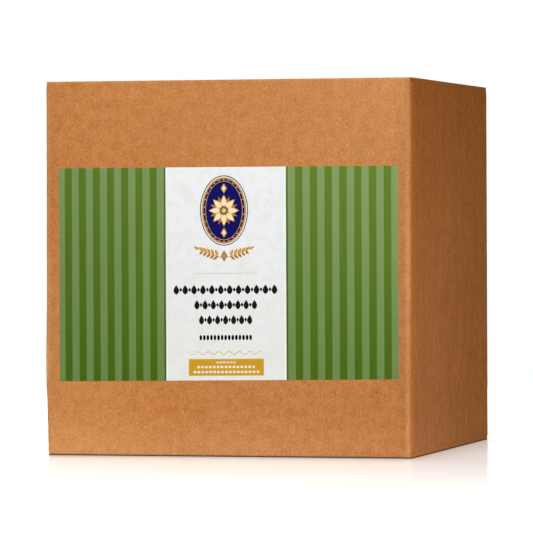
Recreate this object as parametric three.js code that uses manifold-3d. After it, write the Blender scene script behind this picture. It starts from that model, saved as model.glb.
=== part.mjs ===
// A shut case of corrugated board with one wide paper label on its front.
// Millimetres, +Z up. The origin is the middle of the underside, and the label faces -Y.
import * as THREE from "three";
import { ConvexGeometry } from "three/addons/geometries/ConvexGeometry.js";
import { mergeVertices } from "three/addons/utils/BufferGeometryUtils.js";
import Module from "manifold-3d";

// The case, outside
const CASE_WIDTH = 315.6; // a little more than its depth, as it is full
const CASE_DEPTH = 315;
const CASE_HEIGHT = 316;
const BOARD = 4;

// Scores and folds
const SCORE_RADIUS = 2; // upright corners of the panels
const OUTER_FOLD_RADIUS = 2.2; // front and rear panels into the outer flaps
const INNER_FOLD_RADIUS = 0.4; // side panels into the inner flaps, one board lower
const FLAP_INSET = 0.2; // cut ends of the outer flaps, back from the side panels
const SEAM = 1.2; // gap between two flaps that meet

// The lapped joint at the rear left corner, where the rear panel ends over the glued tab
const JOINT_INSET = 1;

// The lower left front corner, pushed in a little
const TUCK = 1;
const TUCK_HEIGHT = 68;
const TUCK_REACH = 110;
const TUCK_CLEARANCE = 40; // how far the cut reaches outside the case

// The label
const LABEL_WIDTH = 294;
const LABEL_HEIGHT = 178.6; // halfway along
const LABEL_THICKNESS = 0.4;
const LABEL_BOTTOM = 64.2; // of its lower edge, halfway along
const LABEL_SHIFT = 1; // to the right of the panel's middle
const TOP_RISE = 0.2; // laid a little askew, and cut a little off square:
const FOOT_RISE = 3.1; // how much higher each long edge is at the right end
const GLUE_GAP = 0.3;

const ARC_STEPS = 8;
const COLOURS = { kraft: 0xc5834a, label: 0x6f9248 };

const RIGHT = new THREE.Vector3(1, 0, 0);
const REAR = new THREE.Vector3(0, 1, 0);
const UP = new THREE.Vector3(0, 0, 1);
const FRONT = new THREE.Vector3(0, -1, 0);

const wasm = await Module();
wasm.setup();

// A closed geometry as a solid that can be joined and cut.
function solidOf(geometry) {
  geometry.deleteAttribute("normal");
  geometry.deleteAttribute("uv");
  const merged = mergeVertices(geometry);
  return new wasm.Manifold(
    new wasm.Mesh({
      numProp: 3,
      vertProperties: merged.attributes.position.array,
      triVerts: new Uint32Array(merged.index.array),
    }),
  );
}

function geometryOf(solid) {
  const mesh = solid.getMesh();
  const geometry = new THREE.BufferGeometry();
  geometry.setAttribute("position", new THREE.BufferAttribute(mesh.vertProperties, 3));
  geometry.setIndex(new THREE.BufferAttribute(mesh.triVerts, 1));
  geometry.computeVertexNormals();
  return geometry;
}

function roundedRectangle(width, height, radius) {
  const x = width / 2 - radius;
  const y = height / 2 - radius;
  const outline = new THREE.Shape();
  outline.absarc(-x, -y, radius, Math.PI, 1.5 * Math.PI);
  outline.absarc(x, -y, radius, -Math.PI / 2, 0);
  outline.absarc(x, y, radius, 0, Math.PI / 2);
  outline.absarc(-x, y, radius, Math.PI / 2, Math.PI);
  outline.closePath();
  return outline;
}

// The panels seen from above: three rounded scores, and the cut end of the rear panel at the joint.
function panelsFromAbove() {
  const x = CASE_WIDTH / 2 - SCORE_RADIUS;
  const y = CASE_DEPTH / 2 - SCORE_RADIUS;
  const tabAngle = Math.acos(JOINT_INSET / SCORE_RADIUS - 1);
  const outline = new THREE.Shape();
  outline.absarc(-x, -y, SCORE_RADIUS, Math.PI, 1.5 * Math.PI);
  outline.absarc(x, -y, SCORE_RADIUS, -Math.PI / 2, 0);
  outline.absarc(x, y, SCORE_RADIUS, 0, Math.PI / 2);
  outline.lineTo(JOINT_INSET - CASE_WIDTH / 2, CASE_DEPTH / 2);
  outline.absarc(-x, y - BOARD, SCORE_RADIUS, tabAngle, Math.PI);
  outline.closePath();
  return outline;
}

// A bar of one outline, standing halfway up the case.
// frame holds the directions of the outline's own x and y, and of the bar.
function bar(outline, length, frame) {
  const geometry = new THREE.ExtrudeGeometry(outline, {
    depth: length,
    bevelEnabled: false,
    curveSegments: ARC_STEPS,
  });
  geometry.translate(0, 0, -length / 2);
  geometry.applyMatrix4(new THREE.Matrix4().makeBasis(...frame));
  geometry.translate(0, 0, CASE_HEIGHT / 2);
  return solidOf(geometry);
}

// The left and right panels, which fold into the inner flaps one board below the outer ones.
function sidesAndInnerFlaps() {
  const outline = roundedRectangle(CASE_WIDTH, CASE_HEIGHT - 2 * BOARD, INNER_FOLD_RADIUS);
  return bar(outline, CASE_DEPTH, [RIGHT, UP, FRONT]);
}

// The front and rear panels, which fold into the outer flaps.
function endsAndOuterFlaps() {
  const outline = roundedRectangle(CASE_DEPTH, CASE_HEIGHT, OUTER_FOLD_RADIUS);
  return bar(outline, CASE_WIDTH - 2 * FLAP_INSET, [REAR, UP, RIGHT]);
}

function scoredCorners() {
  return bar(panelsFromAbove(), CASE_HEIGHT, [RIGHT, REAR, UP]);
}

// The gap where the outer flaps meet, and under its middle the one where the inner flaps meet.
function flapSeams(height) {
  const outer = new THREE.BoxGeometry(2 * CASE_WIDTH, SEAM, 2 * BOARD).translate(0, 0, height);
  const inner = new THREE.BoxGeometry(SEAM, SEAM, 4 * BOARD).translate(0, 0, height);
  return solidOf(outer).add(solidOf(inner));
}

// What the push at the lower left front corner takes off the left panel.
function tuckedCorner() {
  const x = -CASE_WIDTH / 2;
  const y = -CASE_DEPTH / 2;
  const crease = new THREE.Vector3(x, y, TUCK_HEIGHT);
  const pushed = new THREE.Vector3(x + TUCK, y, 0);
  const faded = new THREE.Vector3(x, y + TUCK_REACH, 0);
  const outside = new THREE.Vector3(x - TUCK_CLEARANCE, y - TUCK_CLEARANCE, -TUCK_CLEARANCE);
  return solidOf(new ConvexGeometry([crease, pushed, faded, outside]));
}

function cartonMesh() {
  const solid = sidesAndInnerFlaps()
    .add(endsAndOuterFlaps())
    .intersect(scoredCorners())
    .subtract(flapSeams(0))
    .subtract(flapSeams(CASE_HEIGHT))
    .subtract(tuckedCorner());
  const material = new THREE.MeshStandardMaterial({ color: COLOURS.kraft, roughness: 0.85 });
  const mesh = new THREE.Mesh(geometryOf(solid), material);
  mesh.name = "carton";
  return mesh;
}

function labelMesh() {
  const left = LABEL_SHIFT - LABEL_WIDTH / 2;
  const right = LABEL_SHIFT + LABEL_WIDTH / 2;
  const outline = new THREE.Shape();
  outline.moveTo(left, LABEL_BOTTOM - FOOT_RISE / 2);
  outline.lineTo(right, LABEL_BOTTOM + FOOT_RISE / 2);
  outline.lineTo(right, LABEL_BOTTOM + LABEL_HEIGHT + TOP_RISE / 2);
  outline.lineTo(left, LABEL_BOTTOM + LABEL_HEIGHT - TOP_RISE / 2);
  outline.closePath();
  const sheet = new THREE.ExtrudeGeometry(outline, { depth: LABEL_THICKNESS, bevelEnabled: false });
  const material = new THREE.MeshStandardMaterial({ color: COLOURS.label, roughness: 0.5 });
  const mesh = new THREE.Mesh(sheet, material);
  mesh.rotation.x = Math.PI / 2;
  mesh.position.y = -CASE_DEPTH / 2 - GLUE_GAP;
  mesh.name = "label";
  return mesh;
}

const labelledCase = new THREE.Group();
labelledCase.add(cartonMesh(), labelMesh());

export default labelledCase;
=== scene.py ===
import math
from itertools import pairwise

import bmesh
import bpy
from mathutils import Matrix, Vector, noise


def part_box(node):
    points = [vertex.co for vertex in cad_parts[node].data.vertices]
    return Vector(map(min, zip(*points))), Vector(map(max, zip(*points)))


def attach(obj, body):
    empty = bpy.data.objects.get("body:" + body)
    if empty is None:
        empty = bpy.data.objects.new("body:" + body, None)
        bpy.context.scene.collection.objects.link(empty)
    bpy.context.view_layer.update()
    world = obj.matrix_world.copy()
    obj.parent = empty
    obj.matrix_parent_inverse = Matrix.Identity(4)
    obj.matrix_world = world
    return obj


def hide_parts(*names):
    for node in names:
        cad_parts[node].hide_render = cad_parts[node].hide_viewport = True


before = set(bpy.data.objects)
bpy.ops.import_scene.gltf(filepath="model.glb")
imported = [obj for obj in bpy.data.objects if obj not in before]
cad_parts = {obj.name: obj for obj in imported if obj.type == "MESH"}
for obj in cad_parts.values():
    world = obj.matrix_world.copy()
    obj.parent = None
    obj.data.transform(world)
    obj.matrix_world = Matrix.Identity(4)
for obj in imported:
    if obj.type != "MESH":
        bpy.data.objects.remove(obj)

mm = 0.001
noise.seed_set(7)  # the scores wobble alike in every run
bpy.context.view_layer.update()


def boxInMm(node):
    low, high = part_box(node)
    return [v / mm for v in low], [v / mm for v in high]


caseLow, caseHigh = boxInMm("carton")
labelLow, labelHigh = boxInMm("label")
halfWidth = (caseHigh[0] - caseLow[0]) / 2
halfDepth = (caseHigh[1] - caseLow[1]) / 2
caseHeight = caseHigh[2]
print("frame loaded")


# Small helpers

def lerp(a, b, share):
    return a + (b - a) * share


def lerpAll(a, b, share):
    return tuple(lerp(p, q, share) for p, q in zip(a, b))


def smooth(low, high, value):
    share = min(1, max(0, (value - low) / (high - low)))
    return share * share * (3 - 2 * share)


def bell(distance, reach):
    return math.exp(-(distance / reach) ** 2)


def spread(first, last, step):
    count = max(1, round(abs(last - first) / step))
    return [lerp(first, last, i / count) for i in range(count + 1)]


# Each value with the next, and the last with the first.
def aroundRing(values):
    return zip(values, values[1:] + values[:1])


def addObject(name, data):
    piece = bpy.data.objects.new(name, data)
    bpy.context.scene.collection.objects.link(piece)
    return piece


def onArc(centre, radius, degrees):
    angle = math.radians(degrees)
    return centre[0] + radius * math.cos(angle), centre[1] + radius * math.sin(angle)


# A surface under construction. Points on one place are shared, so patches join up.

def newSurface():
    return {"places": {}, "points": [], "faces": [], "uvs": [], "slots": []}


def pointNumber(surface, point):
    key = tuple(round(v, 3) + 0.0 for v in point)
    if key not in surface["places"]:
        surface["places"][key] = len(surface["points"])
        surface["points"].append(tuple(point))
    return surface["places"][key]


def addFace(surface, corners, slot=0, uvs=None):
    numbers = []
    kept = []
    for corner, uv in zip(corners, uvs or [(0, 0)] * len(corners)):
        number = pointNumber(surface, corner)
        if number not in numbers:
            numbers.append(number)
            kept.append(uv)
    if len(numbers) > 2:
        surface["faces"].append(numbers)
        surface["uvs"].append(kept)
        surface["slots"].append(slot)


# A closed bar through a row of four-cornered sections.
def addBar(surface, sections, slot=0):
    for first, second in pairwise(sections):
        for (a, b), (c, d) in aroundRing(list(zip(first, second))):
            addFace(surface, [a, b, d, c], slot)
    addFace(surface, sections[0], slot)
    addFace(surface, sections[-1], slot)


# Writes a surface as one mesh. marks are values that its points keep for the materials.
def buildPiece(name, surface, materials, crease=35, warp=None, marks=None):
    mesh = bpy.data.meshes.new(name)
    points = surface["points"]
    shown = [warp(p) for p in points] if warp else points
    mesh.from_pydata([[v * mm for v in p] for p in shown], [], surface["faces"])
    blankMap = mesh.uv_layers.new(name="blank")
    flat = [v * mm for uvs in surface["uvs"] for uv in uvs for v in uv]
    blankMap.data.foreach_set("uv", flat)
    mesh.polygons.foreach_set("material_index", surface["slots"])
    for mark, valueOf in (marks or {}).items():
        attribute = mesh.attributes.new(mark, "FLOAT", "POINT")
        attribute.data.foreach_set("value", [valueOf(p) for p in points])
    for material in materials:
        mesh.materials.append(material)
    work = bmesh.new()
    work.from_mesh(mesh)
    bmesh.ops.recalc_face_normals(work, faces=work.faces)
    openEdges = sum(1 for edge in work.edges if len(edge.link_faces) != 2)
    work.to_mesh(mesh)
    work.free()
    mesh.shade_smooth()
    mesh.set_sharp_from_angle(angle=math.radians(crease))
    piece = addObject(name, mesh)
    print(name, len(mesh.polygons), "faces,", openEdges, "open edges")
    return piece


# Material helpers

# A node in the given tree, or in that of the sockets which feed it.
def addNode(kind, inputs=None, tree=None, **settings):
    inputs = inputs or {}
    sources = [v for v in inputs.values() if isinstance(v, bpy.types.NodeSocket)]
    tree = tree or sources[0].id_data
    node = tree.nodes.new("ShaderNode" + kind)
    for name, value in settings.items():
        setattr(node, name, value)
    for name, value in inputs.items():
        if isinstance(value, bpy.types.NodeSocket):
            tree.links.new(value, node.inputs[name])
        else:
            node.inputs[name].default_value = value
    return node


def emptyTree(owner):
    owner.use_nodes = True
    owner.node_tree.nodes.clear()
    return owner.node_tree


def newMaterial(name, roughness, specular):
    material = bpy.data.materials.new(name)
    tree = emptyTree(material)
    shader = addNode("BsdfPrincipled", {"Roughness": roughness, "Specular IOR Level": specular}, tree)
    addNode("OutputMaterial", {"Surface": shader.outputs["BSDF"]})
    return material, shader, *objectAxes(tree)


def compute(operation, a, b=0.0, c=0.0):
    return addNode("Math", {0: a, 1: b, 2: c}, operation=operation).outputs[0]


def mixColours(share, a, b, mode="MIX"):
    settings = {"data_type": "RGBA", "blend_type": mode, "clamp_factor": False}
    return addNode("Mix", {0: share, 6: a, 7: b}, **settings).outputs[2]


def tinted(colour, tint):
    return mixColours(1.0, colour, tint, "MULTIPLY")


def shaded(colour, shade):
    grey = addNode("CombineXYZ", {0: shade, 1: shade, 2: shade}).outputs[0]
    return tinted(colour, grey)


def times(value, *others):
    for other in others:
        value = compute("MULTIPLY", value, other)
    return value


def plus(value, *others):
    for other in others:
        value = compute("ADD", value, other)
    return value


def oneMinus(value):
    return compute("SUBTRACT", 1.0, value)


def remap(value, fromLow, fromHigh, toLow, toHigh):
    inputs = {0: value, 1: fromLow, 2: fromHigh, 3: toLow, 4: toHigh}
    return addNode("MapRange", inputs).outputs[0]


# From first to last along an axis of the case: left to right, front to rear, or foot to top.
def overCase(axes, axis, first, last):
    return remap(axes[axis], caseLow[axis] * mm, caseHigh[axis] * mm, first, last)


# A noise by its grain: spots to the metre, detail, roughness.
def noiseAt(vector, grain):
    scale, detail, roughness = grain
    inputs = {"Vector": vector, "Scale": scale, "Detail": detail, "Roughness": roughness}
    return addNode("TexNoise", inputs).outputs[0]


# The same, spread from low to high. Most of a noise lies between 0.3 and 0.7.
def varied(vector, grain, low, high, most=(0.3, 0.7)):
    return remap(noiseAt(vector, grain), *most, low, high)


def wander(vector, middle, swing, grain):
    return varied(vector, grain, middle - swing, middle + swing)


def rough(vector, depth, grain):
    return times(noiseAt(vector, grain), depth)


def vectors(operation, a, b=(0, 0, 0), output="Vector"):
    return addNode("VectorMath", {0: a, 1: b}, operation=operation).outputs[output]


def stretched(vector, scales):
    return vectors("MULTIPLY", vector, scales)


def objectAxes(tree):
    place = addNode("TexCoord", tree=tree).outputs["Object"]
    return place, addNode("SeparateXYZ", {0: place}).outputs


# How far outside the panels' faces a place is, across and in depth.
def beyondCase(place):
    faces = (halfWidth * mm, halfDepth * mm, 1)
    return vectors("SUBTRACT", vectors("ABSOLUTE", place), faces)


def finishShader(shader, colour, relief, strength):  # relief in millimetres
    bump = addNode("Bump", {"Strength": strength, "Distance": mm, "Height": relief})
    shader.id_data.links.new(colour, shader.inputs["Base Color"])
    shader.id_data.links.new(bump.outputs[0], shader.inputs["Normal"])


# Kraft board

kraft = {
    "dark": (0.398, 0.138, 0.0315, 1),
    "light": (0.502, 0.224, 0.0785, 1),
    "fleck": (0.20, 0.075, 0.024, 1),
    # the scuffed colour is a pale rubbed line, partly painted highlight; the crushed one is a crushed
    # bend, partly painted light from the front
    "scuffedLit": (0.515, 0.28, 0.127, 1),
    "crushedLit": (0.60, 0.21, 0.052, 1),
    "roughness": 0.9,
    "spots": ((540, 3, 0.65), 0, 1, (0.32, 0.68)),  # grain, least, most, and the range it comes from
    "clouding": (0.28, (120, 3, 0.6)),  # swing and grain of soft clouds of tone among the spots
    "drift": (0.12, (6, 1, 0.5)),  # the same of wide ones over a panel
    "shading": (0.02, (45, 2, 0.5)),
    "twist": 0.36,  # painted light: paler towards opposite corners of the front and rear
    "lift": 0.18,  # and painted light towards their tops
    "litFoot": 0.50,  # painted light from the floor: paler low down, on every panel
    "footHeight": 38 * mm,
    "sideReach": (5, 2),  # millimetres behind their face, a point counts as the side panels' own
    "sideEnds": -0.12,  # painted shade: the side panels are darker near their tops and feet
    "sideMiddle": 0.14,  # and painted light, paler halfway up
    "streaks": (0.08, (1, 3, 0.6)),  # of the side panels, in upright streaks
    "streakStretch": (60, 18, 5),
    "coolLightTint": (0.97, 1.015, 1.18, 1),  # painted cool light: change of colour low down towards the right
    "coolLightFront": 1.9,  # on a side panel, more so at its front
    "uprightShade": (0.88, 0.87, 0.94, 1),  # and painted shade beside the upright edges of the front and rear, at mid height
    "uprightShadeReach": (14, 8),
    "uprightShadeLeft": 0.45,  # less at the left
    "contactShadow": (0.04, 0.04, 0.045, 1),  # painted contact shadow along the line that stands on the floor
    "contactShadowMost": 0.85,
    "contactShadowIn": (3.5 * mm, 1.5 * mm),  # how far in it fades away on the underside
    "contactShadowHeight": (0.6 * mm, 1.35 * mm),
    "flecks": ((520, 1, 0.4), 0, 0.55, (0.74, 0.8)),
    "gritGrain": (160, 3, 0.7),  # breaks up the worn scores and the painted light on them
    "scuffLitGrit": (0.35, 0.65, 0.25, 1),
    "crushLitGrit": (0.3, 0.7, 1, 0.4),
    "fibreStretch": (260, 2600, 1),
    "fibreGrain": (1, 2, 0.6),
    "fibreTone": 0.05,
    "flute": 7.8 * mm,  # pitch of the fluting that shows through
    "fluteTone": 0.007,
    "tooth": (0.02, (1500, 3, 0.6)),  # depth in millimetres, like the two below
    "fibreDepth": 0.015,
    "fluteDepth": 0.012,
    "relief": 0.8,
}


# A painted contact shadow: a dark line round the foot of the panels, and just under them.
def contactShadowShare(place, axes):
    over = addNode("SeparateXYZ", {0: beyondCase(place)}).outputs
    far, near = kraft["contactShadowIn"]
    outside = remap(compute("MAXIMUM", over[0], over[1]), -far, -near, 0, 1)
    return times(remap(axes[2], *kraft["contactShadowHeight"], kraft["contactShadowMost"], 0), outside)


def kraftLiner():
    material, shader, place, axes = newMaterial("kraftLiner", kraft["roughness"], 0.0)
    tree = material.node_tree
    blank = addNode("UVMap", tree=tree, uv_map="blank").outputs["UV"]
    outward = compute("ABSOLUTE", axes[0])
    beside = remap(outward, *((halfWidth - v) * mm for v in kraft["sideReach"]), 0, 1)
    facing = oneMinus(beside)
    high = overCase(axes, 2, -1, 1)

    # mottling of the paper, from spots to wide clouds, with painted light and shade over the panels:
    # paler towards the tops and opposite corners of the front and rear, darker or paler up the side
    # panels, paler low down
    across = overCase(axes, 0, -kraft["twist"], kraft["twist"])
    twist = compute("MULTIPLY_ADD", across, overCase(axes, 1, 1, -1), kraft["lift"])
    twist = times(twist, high, facing)
    sideTone = remap(times(high, high), 0, 1, kraft["sideMiddle"], kraft["sideEnds"])
    sideTone = times(sideTone, beside)
    foot = remap(axes[2], 0, kraft["footHeight"], kraft["litFoot"], 0)
    clouds = plus(wander(place, 0, *kraft["clouding"]), wander(place, 0, *kraft["drift"]))
    tone = plus(varied(place, *kraft["spots"]), clouds, twist, sideTone, foot)
    colour = mixColours(tone, kraft["dark"], kraft["light"])

    # fibres lie across the flutes, and the flutes show through as faint bands
    fibres = noiseAt(stretched(blank, kraft["fibreStretch"]), kraft["fibreGrain"])
    fibreShade = remap(fibres, 0.3, 0.7, 1 - kraft["fibreTone"], 1 + kraft["fibreTone"])
    along = addNode("SeparateXYZ", {0: blank}).outputs[0]
    ridges = compute("SINE", times(along, 2 * math.pi / kraft["flute"]))
    fluteShade = compute("MULTIPLY_ADD", ridges, kraft["fluteTone"], 1.0)
    streaks = wander(stretched(blank, kraft["streakStretch"]), 0, *kraft["streaks"])
    streakShade = compute("MULTIPLY_ADD", streaks, beside, 1.0)
    shade = times(wander(place, 1, *kraft["shading"]), fibreShade, fluteShade, streakShade)
    colour = shaded(colour, shade)

    # painted cool light towards the lower right, and painted shade beside the upright edges of the front
    # and rear
    right = remap(axes[0], -halfWidth * mm / 2, halfWidth * mm / 2, 0, 1)
    nearer = compute("SUBTRACT", overCase(axes, 1, kraft["coolLightFront"], 0), 1.0)
    nearer = compute("MULTIPLY_ADD", nearer, beside, 1.0)
    coolLightTint = times(overCase(axes, 2, 1, 0), right, nearer)
    colour = mixColours(coolLightTint, colour, tinted(colour, kraft["coolLightTint"]))
    edge = remap(outward, *((halfWidth - v) * mm for v in kraft["uprightShadeReach"]), 0, 1)
    midway = oneMinus(compute("POWER", compute("ABSOLUTE", high), 3))
    uprightShade = times(edge, facing, overCase(axes, 0, kraft["uprightShadeLeft"], 1), midway)
    colour = mixColours(uprightShade, colour, tinted(colour, kraft["uprightShade"]))

    # a few dark flecks of bark
    colour = mixColours(varied(place, *kraft["flecks"]), colour, kraft["fleck"])

    # scores: a pale rubbed line with a painted highlight, and the crushed bend beside it with painted
    # light from the front
    grit = noiseAt(place, kraft["gritGrain"])
    for mark, grain, paint in (("crushLit", "crushLitGrit", "crushedLit"), ("scuffLit", "scuffLitGrit", "scuffedLit")):
        share = addNode("Attribute", tree=tree, attribute_name=mark).outputs["Fac"]
        colour = mixColours(times(share, remap(grit, *kraft[grain])), colour, kraft[paint])
    # painted contact shadow at the foot
    colour = mixColours(contactShadowShare(place, axes), colour, kraft["contactShadow"])

    strands = times(fibres, kraft["fibreDepth"])
    relief = plus(rough(place, *kraft["tooth"]), strands, times(ridges, kraft["fluteDepth"]))
    finishShader(shader, colour, relief, kraft["relief"])
    return material


cutEdge = {
    "dark": (0.37, 0.142, 0.04, 1),
    "light": (0.50, 0.205, 0.065, 1),
    "roughness": 0.95,
    "fluffGrain": (700, 4, 0.7),
    "litFoot": 1.0,  # painted light, paler low down
    "footHeight": (4 * mm, 9 * mm),
    "tooth": (0.08, (1600, 3, 0.7)),
    "relief": 0.8,
}


def cutBoard():
    material, shader, place, axes = newMaterial("cutBoard", cutEdge["roughness"], 0.0)
    fluff = varied(place, cutEdge["fluffGrain"], 0, 1)
    # painted light low down, and the painted contact shadow at the foot
    foot = remap(axes[2], *cutEdge["footHeight"], cutEdge["litFoot"], 0)
    colour = mixColours(plus(fluff, foot), cutEdge["dark"], cutEdge["light"])
    colour = mixColours(contactShadowShare(place, axes), colour, kraft["contactShadow"])
    finishShader(shader, colour, rough(place, *cutEdge["tooth"]), cutEdge["relief"])
    return material


linerPaper = kraftLiner()
cutPaper = cutBoard()
print("board materials done")


# The case, one closed surface from the scored panels to the seams in the flaps

board = {
    "thickness": 4,
    "fold": 2.2,  # outside radius of every score
    "foldSteps": 7,
    "flapEnd": 0.2,  # cut ends of the outer flaps, back from the side panels
    "seam": 1.2,  # gap between the outer flaps
    "jointBack": 1,  # cut end of the rear panel, in from the left side
    "liner": 0.4,
    "worn": 0.12,  # bevel of a cut liner's outer corner
    "groove": (0.15, 0.3, 0.05),  # depth, slope and bow of the hollow in an end cut along the flutes
    "seamGroove": 2.2,  # depth of the same in an end cut across them
    "seamSlope": 0.1,
    "seamShut": 0.4,  # what is left of it at the ends of the seam
    "panelStep": 5,  # grid of the panels, closer beside the scores
    "heightStep": 3,
    "besideScore": (10, 7.5, 5, 3, 1.4, 0),
    "besideFold": (6.5, 9, 12, 15),
    "cornerSteps": 9,
    "jointTurn": (94, 176),  # the joint's place on a plain rounded corner, in degrees
    "jointFade": (14, 6),  # the lapped joint closes up this near the top and the foot
}
halfSeam = board["seam"] / 2
innerX = halfWidth - board["fold"]
innerY = halfDepth - board["fold"]


def lineAcross(half):
    outer, *close = board["besideScore"]
    side = spread(halfSeam, half - outer, board["panelStep"]) + [half - d for d in close]
    return [-v for v in reversed(side)] + side


xLine = lineAcross(innerX)
yLine = lineAcross(innerY)


# A cut end of the board, as (depth behind the cut, distance from the outer face), inner liner first.
def grooveProfile(deep, slope, bow):
    thick, liner = board["thickness"], board["liner"]
    return [
        (0, thick - liner), (deep, thick - liner - slope), (deep + bow, thick / 2),
        (deep, liner + slope), (0, liner),
    ]


# The two profiles at a panel's end, as (distance in from the face, distance below the top).
def endProfile():
    inset = board["flapEnd"]
    thick = board["thickness"]
    worn = board["worn"]
    corner = onArc((inset, thick + inset), inset, 225)
    cut = [(inset + back, below) for back, below in grooveProfile(*board["groove"])]
    return [
        (0, thick + inset), corner, (inset, thick), *cut, (inset, worn), (inset + worn, 0),
        (board["fold"], 0),
    ]


def foldProfile():
    radius = board["fold"]
    steps = board["foldSteps"]
    straight = board["thickness"] + board["flapEnd"] - radius
    start = [(0, radius + straight * share) for share in (1, 0.7, 0.35)]
    return start + [onArc((radius, radius), radius, 180 + 90 * i / steps) for i in range(steps + 1)]


flapRow = 2  # from here up a row belongs to the flap
lidRow = 9  # from here up a row lies on top of it
levels = [lambda drop: caseHeight - drop, lambda drop: drop]  # heights below the top and over the foot


def rowsUp():
    ends = list(zip(endProfile(), foldProfile()))
    bottom = [{"end": e, "fold": f, "rank": k} for k, (e, f) in enumerate(ends)]
    top = [
        {"end": (e[0], caseHeight - e[1]), "fold": (f[0], caseHeight - f[1]), "rank": k}
        for k, (e, f) in enumerate(ends)
    ]
    *close, inner = board["besideFold"]
    middle = [*close, *spread(inner, caseHeight - inner, board["heightStep"])]
    middle += [caseHeight - d for d in reversed(close)]
    panel = [{"end": (0, z), "fold": (0, z), "rank": -1} for z in middle]
    return bottom[::-1] + panel + top


# A station is one upright line of points: its place on the outline, where it ends on the flap, how
# far it belongs to a folded panel, and its place on a plain rounded corner.
def station(face, inner, fold, plain=None, cut=False):
    return {"face": face, "inner": inner, "fold": fold, "plain": plain or face, "cut": cut}


def roundCorner(signX, signY, start, foldFirst):
    centre = (signX * innerX, signY * innerY)
    result = []
    for i in range(1, board["cornerSteps"]):
        share = i / board["cornerSteps"]
        weight = smooth(0, 1, 1 - share if foldFirst else share)
        result.append(station(onArc(centre, board["fold"], start + 90 * share), centre, weight))
    return result


# The lapped joint: the rear panel's cut end, the slit under it, and the glued tab's bend.
def jointCorner():
    cutX = -halfWidth + board["jointBack"]
    top = halfDepth
    under = halfDepth - board["thickness"]
    worn = board["worn"]
    radius = board["fold"]
    tab = (-innerX, under - radius)
    cut = [(cutX + back, top - below) for back, below in reversed(grooveProfile(*board["groove"]))]
    faces = [(cutX + worn, top), (cutX, top - worn), *cut, (cutX, under + 0.05)]
    bends = [onArc(tab, radius, angle) for angle in (105, 120, 135, 150)]
    centre = (-innerX, innerY)
    line = faces + bends
    result = []
    for i, face in enumerate(line):
        angle = lerp(*board["jointTurn"], i / (len(line) - 1))
        plain = onArc(centre, radius, angle)
        result.append(station(face, centre, smooth(180, 90, angle), plain, 1 <= i < len(cut) + 2))
    for y, angle in ((yLine[-2], 165), (yLine[-3], 180)):
        result.append(station(onArc(tab, radius, angle), (-innerX, y), 0, (-halfWidth, y)))
    return result


def stationsRound():
    front = [station((x, -halfDepth), (x, -innerY), 1) for x in xLine]
    right = [station((halfWidth, y), (innerX, y), 0) for y in yLine]
    rear = [station((x, halfDepth), (x, innerY), 1) for x in reversed(xLine)]
    left = [station((-halfWidth, y), (-innerX, y), 0) for y in reversed(yLine[:-3])]
    return (
        front + roundCorner(1, -1, -90, True) + right + roundCorner(1, 1, 0, False)
        + rear + jointCorner() + left + roundCorner(-1, -1, 180, False)
    )


def placeOn(one, row):
    inset = lerp(row["end"][0], row["fold"][0], one["fold"])
    z = lerp(row["end"][1], row["fold"][1], one["fold"])
    far, near = board["jointFade"]
    fade = smooth(far, near, min(z, caseHeight - z))
    face = lerpAll(one["face"], one["plain"], fade)
    x, y = lerpAll(face, one["inner"], inset / board["fold"])
    return x, y, z


# Where a point of a flap lies on the flat blank: u runs round the panels, v along the flutes.
def flapUv(x, y, high):
    span = halfDepth * 4 - board["fold"]
    u = x + innerX if y < 0 else span - x
    v = caseHeight + min(y + halfDepth, halfDepth - y)
    return (u, v) if high else (u, caseHeight - v)


def addPanels(surface):
    rows = rowsUp()
    stations = stationsRound()
    lengths = [0]
    for one, following in aroundRing(stations):
        lengths.append(lengths[-1] + math.dist(one["face"], following["face"]))
    for i, (one, following) in enumerate(aroundRing(stations)):
        side = one["fold"] == 0 and following["fold"] == 0
        inSeam = side and abs(one["face"][1]) <= halfSeam and abs(following["face"][1]) <= halfSeam
        for low, high in pairwise(rows):
            ranks = (low["rank"], high["rank"])
            if inSeam and max(ranks) > flapRow:
                continue
            corners = [placeOn(one, low), placeOn(following, low)]
            corners += [placeOn(following, high), placeOn(one, high)]
            onLid = min(ranks) >= lidRow
            if onLid and one["fold"] < 0.5:
                uvs = [flapUv(x, y, z > caseHeight / 2) for x, y, z in corners]
            else:
                uvs = [(lengths[i + k], c[2]) for k, c in zip((0, 1, 1, 0), corners)]
            flapCut = min(ranks) > flapRow and not onLid and one["fold"] < 0.5
            addFace(surface, corners, int(flapCut or (one["cut"] and max(ranks) < flapRow)), uvs)


def addLid(surface, z, high):
    for x0, x1 in pairwise(xLine):
        for y0, y1 in pairwise(yLine):
            if abs(y0) > halfSeam or abs(y1) > halfSeam:
                corners = [(x0, y0, z), (x1, y0, z), (x1, y1, z), (x0, y1, z)]
                addFace(surface, corners, 0, [flapUv(x, y, high) for x, y, _ in corners])


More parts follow.
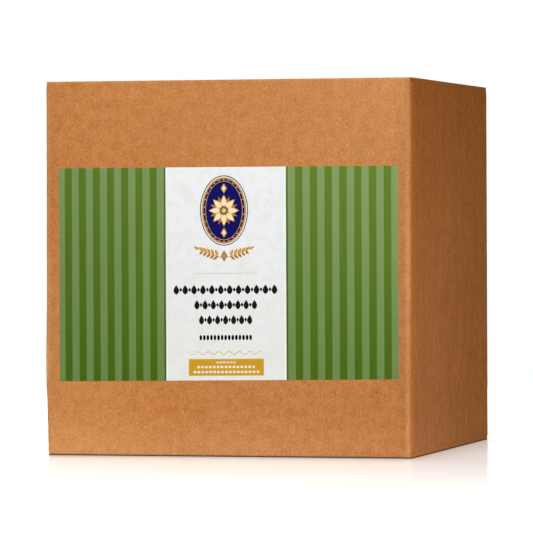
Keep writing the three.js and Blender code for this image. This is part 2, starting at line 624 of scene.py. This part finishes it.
# The seam between two flaps: two grooved walls, the inner flaps as its floor, and a pit at its middle.
def addSeam(surface, level):
    ends = endProfile()[flapRow:lidRow + 1]
    thick = board["thickness"]
    walls = [(0, thick), *grooveProfile(1, board["seamSlope"], 0), (0, board["worn"]), (0, 0)]

    def wallColumn(x, side):
        hollow = board["seamGroove"] * (board["seamShut"] if abs(x) == innerX else 1)
        return [(x, side * (halfSeam + hollow * back), level(drop)) for back, drop in walls]

    def endColumn(sign, side):
        return [(sign * (halfWidth - inset), side * halfSeam, level(drop)) for inset, drop in ends]

    for side in (-1, 1):
        columns = [endColumn(-1, side)] + [wallColumn(x, side) for x in xLine] + [endColumn(1, side)]
        for first, second in pairwise(columns):
            for (a, b), (c, d) in pairwise(zip(first, second)):
                addFace(surface, [a, b, d, c], 1)
    reach = halfWidth - board["flapEnd"]
    top, low = level(thick), level(2 * thick)
    floorLine = [-reach] + xLine + [reach]
    for x0, x1 in pairwise(floorLine):
        if max(abs(x0), abs(x1)) > halfSeam:
            corners = [(x0, -halfSeam), (x1, -halfSeam), (x1, halfSeam), (x0, halfSeam)]
            addFace(surface, [(x, y, top) for x, y in corners], 0, [(y, x) for x, y in corners])
    rim = [(-halfSeam, -halfSeam), (halfSeam, -halfSeam), (halfSeam, halfSeam), (-halfSeam, halfSeam)]
    for start, end in aroundRing(rim):
        addFace(surface, [(*start, top), (*end, top), (*end, low), (*start, low)], 1)
    addFace(surface, [(*at, low) for at in rim], 1)


# How the real board departs from flat: bellied panels, uneven scores, a pushed-in corner.
shape = {
    "belly": 0.2,
    "lidSag": 0.5,
    "edgeReach": 25,  # they come in over this distance from an edge
    "scoreWobble": (0.154, 0.154, 0.088),
    "wobbleSize": 11,
    "wobbleReach": 4.5,
    "grounded": 8,  # the foot stays flat up to here
    "splay": 0.8,  # the upper end of the front right score leans out
    "skew": 1.3,  # the right panel comes further out towards its front end,
    "pinch": 1.4,  # where the crushed score draws it in again
    "pinchReach": 7,
    "pinchLow": 1.5,  # more so low down
    "pinchSpan": (170, 60),
    "lean": 0.5,  # the upper end of the front left score leans in
    "leanSpan": (150, 270),
    "bulge": 1.0,  # and the same score leans out above the pushed-in corner
    "bulgeHeight": 76,
    "bulgeReach": 36,
    "tuck": 0.75,  # the pushed-in corner itself
    "tuckHeight": 68,
    "tuckReach": 110,
    "tuckSoft": 0.02,
}


# How far the front scores and the side panels stand out of line, to the right.
def sideways(x, y, z):
    front = smooth(0, -halfDepth, y)
    leftScore = smooth(0, -halfWidth, x) * front
    splay = shape["splay"] * smooth(0, halfWidth, x) * front * smooth(0, caseHeight, z)
    lean = shape["lean"] * leftScore * smooth(*shape["leanSpan"], z)
    bulge = shape["bulge"] * leftScore * bell(z - shape["bulgeHeight"], shape["bulgeReach"])
    skewed = shape["skew"] * (0.5 - y / (2 * halfDepth))
    pinch = shape["pinch"] * math.exp(-(y + halfDepth) / shape["pinchReach"])
    pinch *= lerp(1, shape["pinchLow"], smooth(*shape["pinchSpan"], z))
    right = (skewed - pinch) * smooth(halfWidth - shape["edgeReach"], halfWidth, x)
    push = shape["tuck"] * (1 - z / shape["tuckHeight"] - (y + halfDepth) / shape["tuckReach"])
    push = (push + math.sqrt(push * push + shape["tuckSoft"])) / 2
    tuck = push * min(1, max(0, 1 - (x + halfWidth) / shape["tuckReach"]))
    return splay + right + tuck + lean - bulge


def caseWarp(point):
    x, y, z = point
    reach = shape["edgeReach"]
    acrossX = math.cos(math.pi * x / (2 * halfWidth))
    acrossY = math.cos(math.pi * y / (2 * halfDepth))
    upright = math.sin(math.pi * z / caseHeight)
    nearX = smooth(halfWidth - reach, halfWidth, abs(x))
    nearY = smooth(halfDepth - reach, halfDepth, abs(y))
    nearTop = smooth(caseHeight - reach, caseHeight, z)
    dx = math.copysign(shape["belly"] * acrossY * upright * nearX, x)
    dy = math.copysign(shape["belly"] * acrossX * upright * nearY, y)
    dz = -shape["lidSag"] * acrossX * acrossY * nearTop
    dx += sideways(x, y, z)

    # the scores, where the board is weakest, also wobble
    fromSides = max(halfWidth - abs(x), halfDepth - abs(y))
    fromFolds = max(min(z, caseHeight - z), halfDepth - abs(y))
    near = math.exp(-min(fromSides, fromFolds) / shape["wobbleReach"])
    shift = noise.noise_vector(Vector(point) / shape["wobbleSize"])
    wx, wy, wz = (most * near * v for most, v in zip(shape["scoreWobble"], shift))
    return x + dx + wx, y + dy + wy, z + dz + wz * smooth(0, shape["grounded"], z)


# Marks for the materials: the rubbed line and the crushed bend of the upright scores, each partly
# painted light, and a painted highlight on the left score.
def uprightTurn(point):  # 0 on the front or rear panel's side of a score, 1 on the side panel's
    x = abs(point[0]) - innerX
    y = abs(point[1]) - innerY
    if x <= 0 or y <= 0:
        return 0 if x <= 0 else 1
    return math.atan2(x, y) / (math.pi / 2)


def fromScore(point):
    return max(halfWidth - abs(point[0]), halfDepth - abs(point[1]))


wearAndLight = {
    "line": 2.4,  # the rubbed line, partly a painted highlight, from the corner
    "lineWidth": 1.6,
    "amount": (0.42, 0.62, 0.24),  # at the top, halfway down and at the foot
    "fromTop": (1, 0.6),  # shares of the height between which it changes
    "fromMiddle": (0.5, 0.25),
    "sliver": 1.3,  # a painted highlight on the left score, above the pushed-in corner
    "leftHighlightAmount": 2.4,
    "leftHighlightWidth": 0.8,
    "leftHighlightSpan": (62, 66, 88, 100),
    "besideLeftHighlight": 0.3,
    "crushLit": (1.45, 0.3),  # crushed bend, partly painted light from the front, at the front scores and the rear ones
    "crushLitSpan": (-60, 60),
    "crushLitReach": 8,
    "edgeOn": 0.8,  # how far round a score its front half goes
}


def scuffLitAt(point):
    if uprightTurn(point) > wearAndLight["edgeOn"]:
        return 0
    share = point[2] / caseHeight
    line = bell(fromScore(point) - wearAndLight["line"], wearAndLight["lineWidth"])
    top, midway, foot = wearAndLight["amount"]
    line *= lerp(top, midway, smooth(*wearAndLight["fromTop"], share))
    line *= lerp(1, foot / midway, smooth(*wearAndLight["fromMiddle"], share))
    # a painted highlight on the left score, above the pushed-in corner
    if point[0] < 0 and point[1] < 0:
        low, lowFull, highFull, high = wearAndLight["leftHighlightSpan"]
        along = smooth(low, lowFull, point[2]) * smooth(high, highFull, point[2])
        sliver = bell(fromScore(point) - wearAndLight["sliver"], wearAndLight["leftHighlightWidth"])
        line = max(wearAndLight["besideLeftHighlight"] * line, sliver * along * wearAndLight["leftHighlightAmount"])
    return line


def crushLitAt(point):
    if uprightTurn(point) < wearAndLight["edgeOn"]:
        return 0
    most = lerp(*wearAndLight["crushLit"], smooth(*wearAndLight["crushLitSpan"], point[1]))
    return most * math.exp(-fromScore(point) / wearAndLight["crushLitReach"])


def buildCarton():
    surface = newSurface()
    addPanels(surface)
    addLid(surface, caseHeight, True)
    addLid(surface, 0, False)
    for level in levels:
        addSeam(surface, level)
    marks = {"scuffLit": scuffLitAt, "crushLit": crushLitAt}
    piece = buildPiece("cartonBoard", surface, [linerPaper, cutPaper], 38, caseWarp, marks)
    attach(piece, "root")
    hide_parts("carton")


# The fluted middle of the board, seen in the cut edges of the seams
fluting = {
    "pitch": 7.8,
    "swing": 1.35,
    "paper": 0.25,
    "back": 0.2,  # how far the edge stands behind the liners
    "past": 0.1,  # and runs into the bottom of the groove
    "stepsInPitch": 12,
    "short": 1,  # it ends this far before the scores
}


def addRibbon(surface, side, level):
    step = fluting["pitch"] / fluting["stepsInPitch"]
    near = side * (halfSeam + fluting["back"])
    far = side * (halfSeam + board["seamGroove"] + fluting["past"])
    sections = []
    end = innerX - fluting["short"]
    for x in spread(-end, end, step):
        middle = board["thickness"] / 2 + fluting["swing"] * math.sin(2 * math.pi * x / fluting["pitch"])
        low, high = level(middle + fluting["paper"] / 2), level(middle - fluting["paper"] / 2)
        sections.append([(x, near, low), (x, far, low), (x, far, high), (x, near, high)])
    addBar(surface, sections)


def buildFluting():
    surface = newSurface()
    for side in (-1, 1):
        for level in levels:
            addRibbon(surface, side, level)
    piece = buildPiece("seamFluting", surface, [cutPaper], 40, caseWarp)
    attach(piece, "root")


buildCarton()
buildFluting()
print("case done")


# The label: a sheet of coated paper, its stripes in the sheet's own faces

label = {
    "topRise": 0.2,  # laid a little askew and cut a little off square:
    "footRise": 3.1,  # how much higher each long edge is at the right end
    "paper": 0.2,
    "bedded": 0.02,  # sunk into the board's surface, so no gap shows
    "printShift": -0.1,  # middle of the print, from the middle of the front
    "panel": 104.3,  # white panel
    "panelEdge": 1.3,  # brighter line along each side of it
    "sliver": 1.6,  # dark line outside it
    "stripe": (6.22, 6.32),  # to the left of the panel and to its right
    "pairs": 8,  # of stripes, at most, on each side
    "step": 8,
}
labelMiddle = (labelLow[0] + labelHigh[0]) / 2
labelWidth = labelHigh[0] - labelLow[0]
labelBottom = labelLow[2] + label["footRise"] / 2
labelTop = labelHigh[2] - label["topRise"] / 2


def onLabel(x, z, lift):
    rise = lerp(label["footRise"], label["topRise"], (z - labelBottom) / (labelTop - labelBottom))
    high = z + rise * (x - labelMiddle) / labelWidth
    return x, caseWarp((x, -halfDepth, high))[1] - lift, high


# What is printed. Each ink is a material of its own.
inks = {
    "white": (0.644, 0.661, 0.658),
    "brightWhite": (0.73, 0.74, 0.72),
    "darkGreen": (0.050, 0.104, 0.003),
    "lightGreen": (0.120, 0.197, 0.055),
    "sliver": (0.035, 0.085, 0.004),
    "black": (0.003, 0.003, 0.003),
    "gold": (0.50, 0.262, 0.009),
    "stone": (0.56, 0.535, 0.46),
    "paleGold": (0.60, 0.47, 0.25),
    "orange": (0.37, 0.15, 0.008),
    "brown": (0.2, 0.07, 0.01),
    "cream": (0.78, 0.66, 0.45),
    "navy": (0.0, 0.001, 0.085),
}
sheenInks = {  # the same inks at the top of the label, paler under a painted sheen
    "white": (0.720, 0.736, 0.770),
    "brightWhite": (0.78, 0.79, 0.79),
    "darkGreen": (0.092, 0.166, 0.016),
    "lightGreen": (0.178, 0.266, 0.095),
    "sliver": (0.065, 0.135, 0.014),
}
coating = {
    "finish": (0.5, 0.05),  # roughness and specular
    "clouding": (0.015, (60, 3, 0.6)),
    "sheen": (0.8, 1.2),  # of the painted sheen, at the left end and the right
    "heavy": 0.92,  # the greens are printed a little heavier towards the left end
    "stain": (0.56, 0.575, 0.40, 1),
    "stained": ((150, 4, 0.7), 0, 0.35, (0.42, 0.72)),  # faint yellowish smudges on the white
    "uneven": (0.05, (1, 3, 0.6)),  # tone of the greens, in upright streaks
    "unevenStretch": (220, 1, 14),
    "tooth": (0.006, (900, 2, 0.5)),
    "relief": 0.6,
}
inkNames = list(inks)


def printedPaper(name):
    material, shader, place, axes = newMaterial(name + "Print", *coating["finish"])
    left, right = labelLow[0] * mm, labelHigh[0] * mm
    shade = wander(place, 1, *coating["clouding"])
    colour = (*inks[name], 1)
    # painted sheen: paler towards the top of the label, more so at the right
    if name in sheenInks:
        high = remap(axes[2], labelBottom * mm, labelTop * mm, 0, 1)
        sheen = times(remap(axes[0], left, right, *coating["sheen"]), high)
        colour = mixColours(sheen, colour, (*sheenInks[name], 1))
    if name == "white":
        colour = mixColours(varied(place, *coating["stained"]), colour, coating["stain"])
    elif name in sheenInks:
        uneven = wander(stretched(place, coating["unevenStretch"]), 1, *coating["uneven"])
        shade = times(shade, remap(axes[0], left, right, coating["heavy"], 1), uneven)
    finishShader(shader, shaded(colour, shade), rough(place, *coating["tooth"]), coating["relief"])
    return material


prints = [printedPaper(name) for name in inkNames]


# The colours across the label, as (left end, right end, ink).
def stripeEdges():
    middle = label["printShift"]
    half = label["panel"] / 2
    bands = [(middle - half + label["panelEdge"], middle + half - label["panelEdge"], "white")]
    ends = ((-1, labelLow[0], label["stripe"][0]), (1, labelHigh[0], label["stripe"][1]))
    for sign, limit, stripe in ends:
        at = middle + sign * (half - label["panelEdge"])
        steps = [(label["panelEdge"], "brightWhite"), (label["sliver"], "sliver")]
        steps += [(stripe, "lightGreen"), (stripe, "darkGreen")] * label["pairs"]
        for width, ink in steps:
            end = sign * min(sign * limit, sign * at + width)
            if abs(end - at) > 0.01:
                bands.append((min(at, end), max(at, end), ink))
            at = end
    return sorted(bands)


# The edge of the paper or of an ink, from one place on the label to the next.
def addEdge(surface, start, end, front, back, slot=0):
    corners = [(*start, front), (*end, front), (*end, back), (*start, back)]
    addFace(surface, [onLabel(*corner) for corner in corners], slot)


def buildLabelSheet():
    surface = newSurface()
    rows = spread(labelBottom, labelTop, label["step"])
    front, back = label["paper"], -label["bedded"]
    bands = stripeEdges()
    for start, end, name in bands:
        line = spread(start, end, label["step"])
        for x0, x1 in pairwise(line):
            for z0, z1 in pairwise(rows):
                corners = [(x0, z0), (x1, z0), (x1, z1), (x0, z1)]
                addFace(surface, [onLabel(x, z, front) for x, z in corners], inkNames.index(name))
                addFace(surface, [onLabel(x, z, back) for x, z in corners])
            for z in (rows[0], rows[-1]):
                addEdge(surface, (x0, z), (x1, z), front, back)
    for x in (bands[0][0], bands[-1][1]):
        for z0, z1 in pairwise(rows):
            addEdge(surface, (x, z0), (x, z1), front, back)
    piece = buildPiece("labelSheet", surface, prints, 30)
    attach(piece, "root")
    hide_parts("label")


# A field of ink is a thin closed slab of any outline, a hair proud of the paper.
ink = {"layer": 0.02, "sunk": 0.01, "step": 6}


def inkLifts(layer):
    return label["paper"] + ink["layer"] * layer, label["paper"] - ink["sunk"]


def addInk(surface, outline, name, layer=1):
    front, back = inkLifts(layer)
    slot = inkNames.index(name)
    for lift in (front, back):
        addFace(surface, [onLabel(x, z, lift) for x, z in outline], slot)
    for start, end in aroundRing(outline):
        addEdge(surface, start, end, front, back, slot)


# A long field of ink in upright columns, (x, lower z, upper z), which follows the bellied sheet.
def addColumns(surface, columns, name, layer=1):
    front, back = inkLifts(layer)
    rings = [
        [onLabel(x, low, front), onLabel(x, high, front), onLabel(x, high, back), onLabel(x, low, back)]
        for x, low, high in columns
    ]
    addBar(surface, rings, inkNames.index(name))


def barColumns(x, z, width, height, rounded=0.0):
    turns = spread(math.pi / 2, 0, math.pi / 12) if rounded else [math.pi / 2]
    ends = [(rounded * (1 - math.sin(t)), rounded * (1 - math.cos(t))) for t in turns[::-1]]
    half = width / 2
    left = [(x - half + along, inward) for along, inward in ends]
    middle = [(at, 0) for at in spread(x - half + rounded, x + half - rounded, ink["step"])[1:-1]]
    right = [(x + half - along, inward) for along, inward in ends[::-1]]
    tall = height / 2
    return [(at, z - tall + inward, z + tall - inward) for at, inward in left + middle + right]


def waveColumns(x, z, width, swing, pitch, stroke):
    columns = []
    for at in spread(x - width / 2, x + width / 2, pitch / 12):
        share = (at - x) / (width / 2)
        middle = z + swing * math.sin(2 * math.pi * (at - x) / pitch)
        thick = stroke / 2 * math.sqrt(max(0, 1 - share * share))
        columns.append((at, middle - thick, middle + thick))
    return columns


def oval(x, z, halfAcross, halfUp, count=72):
    turns = [2 * math.pi * i / count for i in range(count)]
    return [(x + halfAcross * math.cos(t), z + halfUp * math.sin(t)) for t in turns]


def diamond(x, z, width, height):
    return [(x + width / 2, z), (x, z + height / 2), (x - width / 2, z), (x, z - height / 2)]


# A pointed leaf from its foot, leaning by an angle from upright.
def leaf(x, z, length, width, lean, count=9):
    sine, cosine = math.sin(math.radians(lean)), math.cos(math.radians(lean))
    right = []
    left = []
    for share in spread(0, 1, 1 / count):
        up = length * share
        bulge = width / 2 * math.sin(math.pi * share ** 0.8)
        for side, out in ((right, bulge), (left, -bulge)):
            side.append((x + sine * up + cosine * out, z + cosine * up - sine * out))
    return right + left[-2:0:-1]


emblem = {
    "at": (-1.5, 206.4),
    "halfAcross": 20.8,
    "halfUp": 29.4,
    "rims": [
        (0, "navy"), (0.8, "brightWhite"), (1.5, "gold"), (2.9, "navy"), (4.6, "gold"), (5.1, "navy"),
    ],
    "dots": {"count": 26, "inward": 3.75, "radius": 0.42},
    "gemsAt": 18.6,  # above and below the rosette
    "gems": [(5.4, 8.4, "gold"), (3.0, 5.2, "cream")],
    "petals": 8,
    "underPetal": (12.6, 3.6, "orange"),
    "petal": [(13.2, 6.2, "gold"), (12.2, 4.9, "cream")],
    "heart": [(4.0, "gold"), (3.3, "brown"), (1.9, "paleGold")],
}


def addMedallion(surface):
    x, z = emblem["at"]
    across, up = emblem["halfAcross"], emblem["halfUp"]
    for layer, (inward, name) in enumerate(emblem["rims"], 1):
        addInk(surface, oval(x, z, across - inward, up - inward), name, layer)
    dots = emblem["dots"]
    places = oval(x, z, across - dots["inward"], up - dots["inward"], 2 * dots["count"])
    for at in places[1::2]:
        addInk(surface, oval(*at, dots["radius"], dots["radius"], 12), "cream", 7)
    for side in (-1, 1):
        for layer, (width, height, name) in enumerate(emblem["gems"], 7):
            addInk(surface, diamond(x, z + side * emblem["gemsAt"], width, height), name, layer)


def addRosette(surface):
    x, z = emblem["at"]
    turn = 360 / emblem["petals"]
    length, width, name = emblem["underPetal"]
    for i in range(emblem["petals"]):
        addInk(surface, leaf(x, z, length, width, turn * (i + 0.5)), name, 7)
    for i in range(emblem["petals"]):
        for layer, (length, width, name) in enumerate(emblem["petal"], 8):
            addInk(surface, leaf(x, z, length, width, turn * i), name, layer)
    for layer, (radius, name) in enumerate(emblem["heart"], 10):
        addInk(surface, oval(x, z, radius, radius, 32), name, layer)


sprig = {
    "below": 9.5,  # foot of the stems, below the medallion
    "start": 2.2,
    "reach": 19.5,
    "bow": 1.2,
    "rise": 6.5,
    "thick": (0.62, 0.12),  # of the stem, at its foot and its tip
    "leaves": 5,  # in pairs along the stem, before the one at its tip
    "length": (6.4, 0.35),  # of the first leaf, and how much less each next one is
    "pair": [  # share of the length, width, lean from upright, and how much more each next one leans
        (1, 2.5, 22, 6, "gold"),
        (0.85, 2.2, 128, 2, "orange"),
    ],
    "tip": (5.2, 2.2, 66),
    "knots": [(5.6, 9.4, "brown"), (3.4, 6.2, "gold")],
    "knotUp": 0.9,
}


# Two sprigs that curve out and up from below the medallion.
def addSprigs(surface):
    x, middle = emblem["at"]
    foot = middle - emblem["halfUp"] - sprig["below"]
    for sign in (-1, 1):
        stem = []
        under = []
        for share in spread(0, 1, 1 / 12):
            px = x + sign * (sprig["start"] + sprig["reach"] * share)
            pz = foot + sprig["bow"] * math.sin(math.pi * share) + sprig["rise"] * share * share
            stem.append((px, pz))
            under.append((px, pz - lerp(*sprig["thick"], share)))
        addInk(surface, stem + under[::-1], "orange", 1)
        for i in range(sprig["leaves"]):
            first, less = sprig["length"]
            for share, width, lean, more, name in sprig["pair"]:
                length = share * (first - less * i)
                addInk(surface, leaf(*stem[2 + i * 2], length, width, sign * (lean + more * i)), name, 2)
        length, width, lean = sprig["tip"]
        addInk(surface, leaf(*stem[-1], length, width, sign * lean), "gold", 2)
    for layer, (width, height, name) in enumerate(sprig["knots"], 3):
        addInk(surface, diamond(x, foot + sprig["knotUp"], width, height), name, layer)


# Rows of plain ornament in the panel: places and sizes across and up the label, and shares of a pitch
ornament = {
    "rule": {"x": -0.1, "z": 153.8, "width": 53.8, "height": 0.8},
    "chains": [
        {"x": -0.7, "z": 140.2, "width": 92.9, "height": 8.0, "count": 12},
        {"x": -0.4, "z": 127.5, "width": 57.0, "height": 8.0, "count": 8},
        {"x": -0.5, "z": 114.9, "width": 48.7, "height": 8.0, "count": 7},
    ],
    "beads": {"x": -0.5, "z": 100.0, "width": 46.4, "height": 4.6, "count": 15},
    "wave": {"x": 0.1, "z": 87.1, "width": 73.0, "swing": 1.3, "pitch": 9.1, "stroke": 1.3},
    "plate": {"x": -0.1, "z": 75.1, "width": 65.0, "height": 14.0},
    "dashes": [
        {"x": -0.2, "z": 79.2, "width": 17.8, "height": 1.7, "count": 6},
        {"x": -0.3, "z": 75.4, "width": 51.2, "height": 2.2, "count": 15},
        {"x": 0.0, "z": 71.2, "width": 58.2, "height": 2.2, "count": 17},
    ],
    "leaf": 0.64,
    "lozenge": 0.34,
    "halfBead": 0.38,
    "dash": 0.72,
}


def placesIn(row):  # their pitch, and the middle of each
    pitch = row["width"] / row["count"]
    return pitch, [row["x"] + (i - (row["count"] - 1) / 2) * pitch for i in range(row["count"])]


def addChain(surface, row):  # upright leaves with a lozenge between each two
    pitch, places = placesIn(row)
    foot = row["z"] - row["height"] / 2
    across = pitch * ornament["lozenge"]
    for i, x in enumerate(places):
        addInk(surface, leaf(x, foot, row["height"], pitch * ornament["leaf"], 0), "black")
        if i:
            addInk(surface, diamond(x - pitch / 2, row["z"], across, row["height"] / 2), "black")


def addBeads(surface, row):
    pitch, places = placesIn(row)
    for x in places:
        bead = oval(x, row["z"], pitch * ornament["halfBead"], row["height"] / 2, 16)
        addInk(surface, bead, "black")


def addDashes(surface, row):
    pitch, places = placesIn(row)
    for x in places:
        columns = barColumns(x, row["z"], pitch * ornament["dash"], row["height"], row["height"] / 2)
        addColumns(surface, columns, "brightWhite", 2)


def finishPrint(name, surface):
    piece = buildPiece(name, surface, prints, 30)
    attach(piece, "root")


def buildPrint():
    surface = newSurface()
    addColumns(surface, barColumns(**ornament["rule"]), "stone")
    for row in ornament["chains"]:
        addChain(surface, row)
    addBeads(surface, ornament["beads"])
    addColumns(surface, waveColumns(**ornament["wave"]), "paleGold")
    addColumns(surface, barColumns(**ornament["plate"]), "gold")
    for row in ornament["dashes"]:
        addDashes(surface, row)
    finishPrint("labelPrint", surface)


def buildEmblem():
    surface = newSurface()
    addMedallion(surface)
    addRosette(surface)
    addSprigs(surface)
    finishPrint("labelEmblem", surface)


buildLabelSheet()
buildPrint()
buildEmblem()
print("label done")


# Camera, a long lens almost level with the middle of the case. Metres and degrees.
lens = {
    "place": (0.9439, -3.6254, 0.2022),
    "turn": -14.686,
    "tip": 0.683,
    "roll": -0.262,
    "focal": 289.96,
    "sensor": 36,
}


def turned(degrees, axis):
    return Matrix.Rotation(math.radians(degrees), 4, axis)


def placeCamera():
    data = bpy.data.cameras.new("camera")
    data.lens = lens["focal"]
    data.sensor_width = lens["sensor"]
    data.clip_end = 50
    camera = addObject("camera", data)
    aimed = turned(-lens["turn"], "Z") @ turned(90 - lens["tip"], "X") @ turned(lens["roll"], "Z")
    camera.matrix_world = Matrix.Translation(lens["place"]) @ aimed
    bpy.context.scene.camera = camera


placeCamera()
print("camera placed")


# Studio: a white floor that mirrors a little, a key in front, a warm fill at the right, two more lamps
studio = {
    "floorRadius": 1.3,
    "floorWhite": 0.45,
    "glow": 1.04,  # light from below the floor, for the camera alone
    "bounce": (0.4, 0.4, 0.4, 1),  # the floor in the light that it throws on the case
    "footGlow": 0.65,  # and the brighter strip of it round the foot of the case
    "footReach": 0.07,
    "footRear": 0.3,  # what is left of it at the rear
    "footGap": 0.006,  # it starts this far out
    "reflection": 0.575,
    "reflectionReach": 0.85,
    "polish": 0.03,
    "contact": (0.89, 0.82, 0.72, 1),  # painted contact shadow: the floor darkens and warms close to the case
    "contactReach": 0.018,
    "backdrop": 1.0,
    "haze": 0.1,
}
lamps = {
    "key": {"at": (-0.2, -2.6, 1.2), "aim": (0, -0.16, 0.16), "size": (1.4, 1.0), "watts": 71.8},
    "overhead": {"at": (0, 0.1, 2.6), "aim": (0, 0, 0), "size": (0.6, 0.6), "watts": 30},
    "fill": {"at": (0.8, -0.32, 0.12), "aim": (0.157, -0.06, 0.11), "size": (0.25,) * 2, "watts": 1.79},
    "rear": {"at": (-1.6, 2.2, 1.4), "aim": (0, 0, 0.15), "size": (1.5, 1.5), "watts": 60},
}
warmth = {"fill": (1, 0.73, 0.45)}


def addLamps():
    for name, lamp in lamps.items():
        data = bpy.data.lights.new(name, "AREA")
        data.shape = "RECTANGLE"
        data.size, data.size_y = lamp["size"]
        data.energy = lamp["watts"]
        data.color = warmth.get(name, (1, 1, 1))
        piece = addObject(name, data)
        piece.location = lamp["at"]
        aim = Vector(lamp["aim"]) - Vector(lamp["at"])
        piece.rotation_euler = aim.to_track_quat("-Z", "Y").to_euler()
        piece.visible_camera = False


def fadeOut(distance, amount, reach):
    return times(compute("EXPONENT", times(distance, -1 / reach)), amount)


def floorMaterial():
    material = bpy.data.materials.new("studioFloor")
    tree = emptyTree(material)

    # distance from the foot of the case
    place, axes = objectAxes(tree)
    distance = vectors("LENGTH", vectors("MAXIMUM", beyondCase(place)), output="Value")

    # what the camera sees: a lit white that mirrors the case, less so further out, with a painted
    # contact shadow close to the case
    mirror = fadeOut(distance, studio["reflection"], studio["reflectionReach"])
    near = fadeOut(distance, 1.0, studio["contactReach"])
    shown = mixColours(near, (1, 1, 1, 1), studio["contact"])
    white = stretched(shown, (studio["floorWhite"],) * 3)
    matt = addNode("BsdfDiffuse", {"Color": white}).outputs[0]
    glow = addNode("Emission", {"Color": shown, "Strength": studio["glow"]}).outputs[0]
    gloss = addNode("BsdfAnisotropic", {"Color": shown, "Roughness": studio["polish"]}).outputs[0]
    lit = addNode("AddShader", {0: matt, 1: glow}).outputs[0]
    polished = addNode("MixShader", {0: mirror, 1: lit, 2: gloss}).outputs[0]

    # what the case gets back from it
    gap = oneMinus(fadeOut(distance, 1.0, studio["footGap"]))
    strip = fadeOut(distance, studio["footGlow"], studio["footReach"])
    strip = times(strip, gap, overCase(axes, 1, 1, studio["footRear"]))
    uplight = addNode("Emission", {"Color": (1, 1, 1, 1), "Strength": strip}).outputs[0]
    returned = addNode("BsdfDiffuse", {"Color": studio["bounce"]}, tree).outputs[0]
    seen = addNode("LightPath", tree=tree).outputs["Is Camera Ray"]
    thrown = addNode("AddShader", {0: returned, 1: uplight}).outputs[0]
    floor = addNode("MixShader", {0: seen, 1: thrown, 2: polished}).outputs[0]
    addNode("OutputMaterial", {"Surface": floor})
    return material


def addFloor():
    mesh = bpy.data.meshes.new("floor")
    work = bmesh.new()
    bmesh.ops.create_circle(work, cap_ends=True, segments=128, radius=studio["floorRadius"])
    work.to_mesh(mesh)
    work.free()
    mesh.materials.append(floorMaterial())
    floor = addObject("floor", mesh)
    floor.location.z = -0.1 * mm


# White to the camera and in the floor's reflection, but a dim light on the case.
def addBackdrop():
    world = bpy.data.worlds.new("backdrop")
    bpy.context.scene.world = world
    path = addNode("LightPath", tree=emptyTree(world))
    white = compute("MAXIMUM", path.outputs["Is Camera Ray"], path.outputs["Is Glossy Ray"])
    strength = compute("MULTIPLY_ADD", white, studio["backdrop"] - studio["haze"], studio["haze"])
    glow = addNode("Background", {"Color": (1, 1, 1, 1), "Strength": strength}).outputs[0]
    addNode("OutputWorld", {"Surface": glow})


addLamps()
addFloor()
addBackdrop()
bpy.context.scene.view_settings.view_transform = "Standard"
print("studio done")
